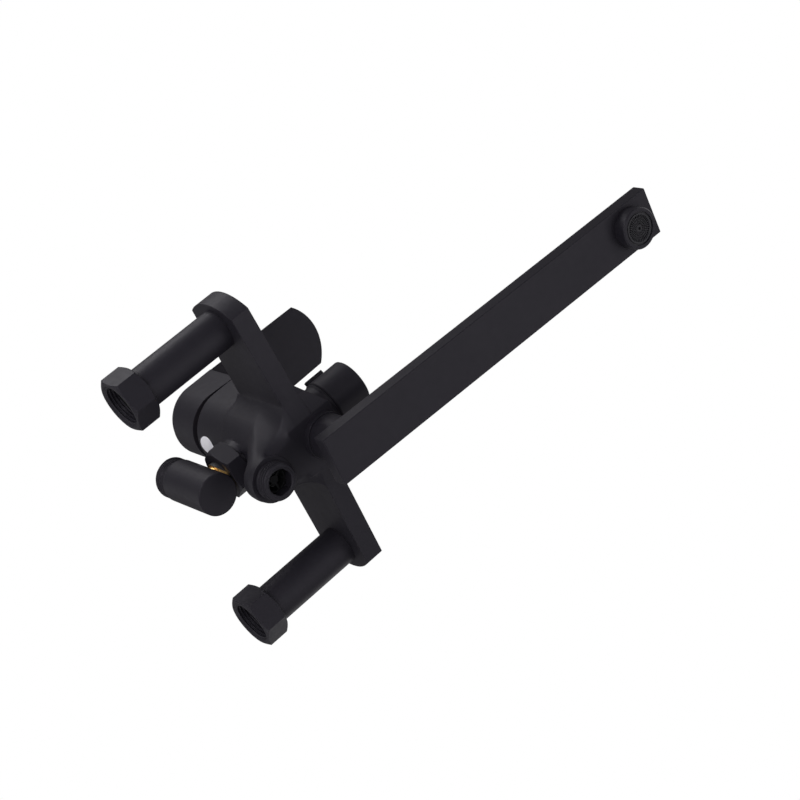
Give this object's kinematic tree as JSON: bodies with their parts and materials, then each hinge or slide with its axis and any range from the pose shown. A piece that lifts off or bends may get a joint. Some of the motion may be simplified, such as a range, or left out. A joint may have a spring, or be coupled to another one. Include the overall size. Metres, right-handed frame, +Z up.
{
  "type": "wall mounted bath faucet",
  "caption": "Matte black exposed wall mixer for bath and shower: flat bar body, lever on top, diverter knob, long flat swivel spout, hose outlet below and riser elbow behind.",
  "frame": {"origin": "midway between the two inlets, on the plane of the union nuts' open ends", "axes": "+X to the user's right when facing the wall, +Y into the wall, +Z up"},
  "size_m": [0.181, 0.3127, 0.147],
  "materials": {
    "black_coat": "matte black coating on brass",
    "brass": "turned, uncoated",
    "rubber": "moulded, black",
    "ceramic": null,
    "dark_plastic": "moulded",
    "steel": "stainless",
    "label": "blank white film"
  },
  "bodies": {
    "base": {"body_casting": "black_coat", "left_inlet_leg": "black_coat", "right_inlet_leg": "black_coat", "left_inlet_washer": "rubber", "right_inlet_washer": "rubber", "left_filter_screen": "steel", "right_filter_screen": "steel", "cartridge_base_seal": "rubber", "cartridge_housing": "dark_plastic", "fixed_disc": "ceramic", "cartridge_nut": "brass", "diverter_sleeve": "dark_plastic", "diverter_collar": "black_coat", "spindle_seal": "rubber", "spout_collar": "black_coat", "hose_outlet_nipple": "black_coat", "outlet_seal": "rubber", "check_valve_body": "dark_plastic", "riser_nipple": "brass", "riser_seal": "rubber", "riser_tail": "brass", "riser_union_nut": "black_coat", "riser_elbow": "black_coat", "blank_label": "label"},
    "left_nut": {"left_union_nut": "black_coat"},
    "right_nut": {"right_union_nut": "black_coat"},
    "lever_turret": {"cartridge_driver": "dark_plastic", "pivot_pin": "steel"},
    "lever": {"lever_handle": "black_coat", "cartridge_stem": "steel", "handle_set_screw": "steel", "handle_plug": "dark_plastic"},
    "mixing_disc": {"moving_disc": "ceramic", "disc_carrier": "dark_plastic"},
    "diverter": {"diverter_knob": "black_coat", "diverter_rotor": "brass", "knob_screw": "steel", "knob_cap": "black_coat"},
    "spout": {"spout_neck": "black_coat", "spout_bar": "black_coat", "spout_clip": "dark_plastic", "spout_upper_seal": "rubber", "spout_lower_seal": "rubber", "aerator_housing": "black_coat", "aerator_insert": "dark_plastic", "aerator_seal": "rubber"},
    "check_valve": {"check_valve_poppet": "dark_plastic", "check_valve_spring": "steel"}
  },
  "joints": [
    {"name": "left_nut_spin", "type": "hinge", "parent": "base", "child": "left_nut", "pos_m": [-0.075, 0, 0], "axis": [0, 1, 0], "continuous": true},
    {"name": "right_nut_spin", "type": "hinge", "parent": "base", "child": "right_nut", "pos_m": [0.075, 0, 0], "axis": [0, 1, 0], "continuous": true},
    {"name": "lever_turn", "type": "hinge", "parent": "base", "child": "lever_turret", "pos_m": [0, -0.0675, 0.045], "axis": [0, 0, 1], "range_deg": [-45, 45]},
    {"name": "lever_lift", "type": "hinge", "parent": "lever_turret", "child": "lever", "pos_m": [0, -0.0675, 0.0439], "axis": [-1, 0, 0], "range_deg": [0, 13]},
    {"name": "disc_slide", "type": "slide", "parent": "lever_turret", "child": "mixing_disc", "axis": [0, -1, 0], "range_m": [0, 0.0019]},
    {"name": "diverter_turn", "type": "hinge", "parent": "base", "child": "diverter", "pos_m": [0, -0.1, -0.0016], "axis": [0, 1, 0], "range_deg": [0, 110]},
    {"name": "spout_swivel", "type": "hinge", "parent": "base", "child": "spout", "pos_m": [0, -0.0813, -0.03], "axis": [0, 0, 1], "range_deg": [-102, 98]},
    {"name": "check_valve_open", "type": "slide", "parent": "base", "child": "check_valve", "axis": [0, 0, -1], "range_m": [0, 0.003], "stiffness_N_per_m": 60, "springref_m": -0.002, "deforming": ["check_valve_spring"]}
  ],
  "couplings": [
    {"joint": "disc_slide", "follows": "lever_lift", "m_per_rad": 0.008}
  ]
}
